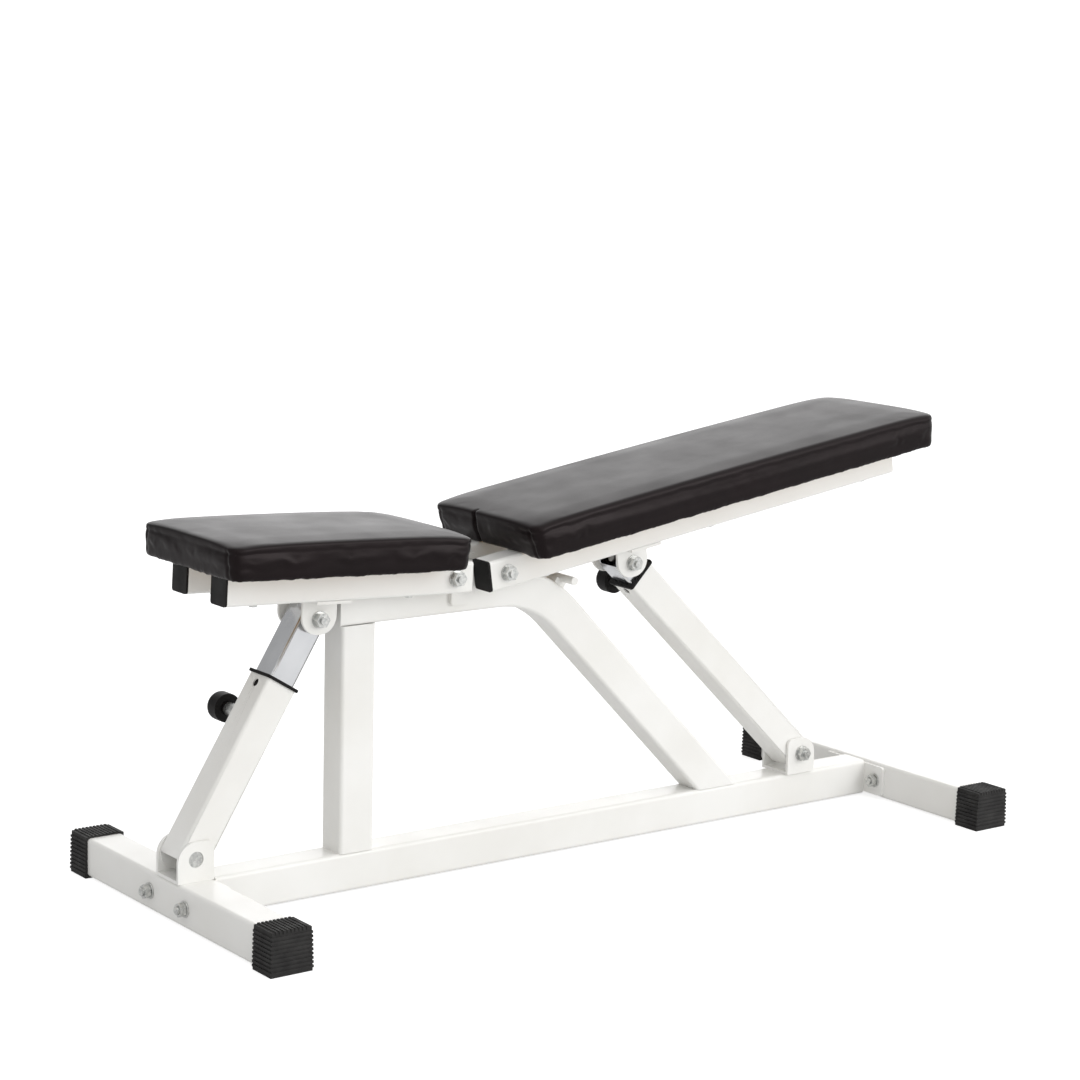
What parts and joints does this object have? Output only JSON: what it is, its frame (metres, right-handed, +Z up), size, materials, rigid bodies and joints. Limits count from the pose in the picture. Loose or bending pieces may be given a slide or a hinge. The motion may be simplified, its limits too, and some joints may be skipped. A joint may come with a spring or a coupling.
{
  "type": "adjustable weight bench",
  "caption": "Flat-to-incline weight bench: tubular steel base, tilting seat and backrest on telescopic struts with pull pins, padded vinyl cushions, rubber feet.",
  "frame": {"origin": "on the floor under the middle of the base", "axes": "+X along the bench towards the head end, +Y to the side that carries the pull pins, +Z up"},
  "size_m": [1.2154, 0.5012, 0.5779],
  "materials": {
    "white_paint": "gloss",
    "vinyl": "soft sheen",
    "plywood": "raw",
    "rubber": "matte",
    "black_plastic": "matte",
    "nylon": "matte",
    "chrome": "polished",
    "zinc": "zinc plated"
  },
  "bodies": {
    "frame": {"base_tube": "white_paint", "front_post": "white_paint", "top_tube": "white_paint", "top_tube_end_plate": "white_paint", "front_foot_tube": "white_paint", "front_flange_plate": "white_paint", "front_near_foot_cap": "rubber", "front_far_foot_cap": "rubber", "rear_foot_tube": "white_paint", "rear_flange_plate": "white_paint", "rear_near_foot_cap": "rubber", "rear_far_foot_cap": "rubber", "flange_bolts": "zinc", "flange_washers": "zinc", "flange_nuts": "zinc", "front_strut_bracket": "white_paint", "rear_strut_bracket": "white_paint", "front_strut_pivot_pin": "zinc", "rear_strut_pivot_bolt_set": "zinc", "seat_pivot_bolt_set": "zinc", "back_pivot_bolt_set": "zinc", "hinge_plate_near": "white_paint", "hinge_plate_far": "white_paint", "hinge_thrust_washers": "nylon", "stop_bar": "white_paint", "stop_bar_saddle": "white_paint"},
    "seat": {"seat_rail_near": "white_paint", "seat_rail_far": "white_paint", "seat_rail_plugs": "black_plastic", "seat_board": "plywood", "seat_pad": "vinyl", "seat_pad_bolts": "zinc", "seat_strut_bracket": "white_paint", "seat_strut_bolt_set": "zinc"},
    "backrest": {"back_rail_near": "white_paint", "back_rail_far": "white_paint", "back_rail_plugs": "black_plastic", "back_board": "plywood", "back_pad": "vinyl", "back_pad_bolts": "zinc", "back_strut_bracket": "white_paint", "back_strut_bolt_set": "zinc"},
    "front_strut_outer": {"front_outer_tube": "white_paint", "front_collar": "black_plastic", "front_pin_housing": "zinc"},
    "front_strut_inner": {"front_inner_tube": "chrome"},
    "front_pin": {"front_pull_pin": "zinc", "front_pin_knob": "black_plastic"},
    "rear_strut_outer": {"rear_outer_tube": "white_paint", "rear_collar": "black_plastic", "rear_pin_housing": "zinc"},
    "rear_strut_inner": {"rear_inner_tube": "chrome"},
    "rear_pin": {"rear_pull_pin": "zinc", "rear_pin_knob": "black_plastic"}
  },
  "joints": [
    {"name": "seat_tilt", "type": "hinge", "parent": "frame", "child": "seat", "pos_m": [-0.2206, 0, 0.4015], "axis": [0, 1, 0], "range_deg": [-2.6, 15]},
    {"name": "back_tilt", "type": "hinge", "parent": "frame", "child": "backrest", "pos_m": [-0.1406, 0, 0.4015], "axis": [0, -1, 0], "range_deg": [-7, 68.4]},
    {"name": "front_strut_swing", "type": "hinge", "parent": "frame", "child": "front_strut_outer", "pos_m": [-0.572, 0, 0.0807], "axis": [0, -1, 0], "range_deg": [-0.79, 4.49]},
    {"name": "front_strut_slide", "type": "slide", "parent": "front_strut_outer", "child": "front_strut_inner", "axis": [0.5203, 0, 0.854], "range_m": [-0.00703, 0.04008]},
    {"name": "rear_strut_swing", "type": "hinge", "parent": "frame", "child": "rear_strut_outer", "pos_m": [0.4122, 0, 0.0817], "axis": [0, -1, 0], "range_deg": [-5.81, 0.6]},
    {"name": "rear_strut_slide", "type": "slide", "parent": "rear_strut_outer", "child": "rear_strut_inner", "axis": [-0.7239, 0, 0.6899], "range_m": [-0.02622, 0.25531]},
    {"name": "front_pin_pull", "type": "slide", "parent": "front_strut_outer", "child": "front_pin", "axis": [0, 1, 0], "range_m": [0, 0.012], "stiffness_N_per_m": 1200, "springref_m": -0.004},
    {"name": "rear_pin_pull", "type": "slide", "parent": "rear_strut_outer", "child": "rear_pin", "axis": [0, 1, 0], "range_m": [0, 0.012], "stiffness_N_per_m": 1200, "springref_m": -0.004}
  ],
  "couplings": [
    {"joint": "front_strut_swing", "follows": "seat_tilt", "ratio": 0.29852},
    {"joint": "front_strut_slide", "follows": "seat_tilt", "m_per_rad": 0.15272},
    {"joint": "rear_strut_swing", "follows": "back_tilt", "ratio": -0.084808},
    {"joint": "rear_strut_slide", "follows": "back_tilt", "m_per_rad": 0.21378}
  ]
}
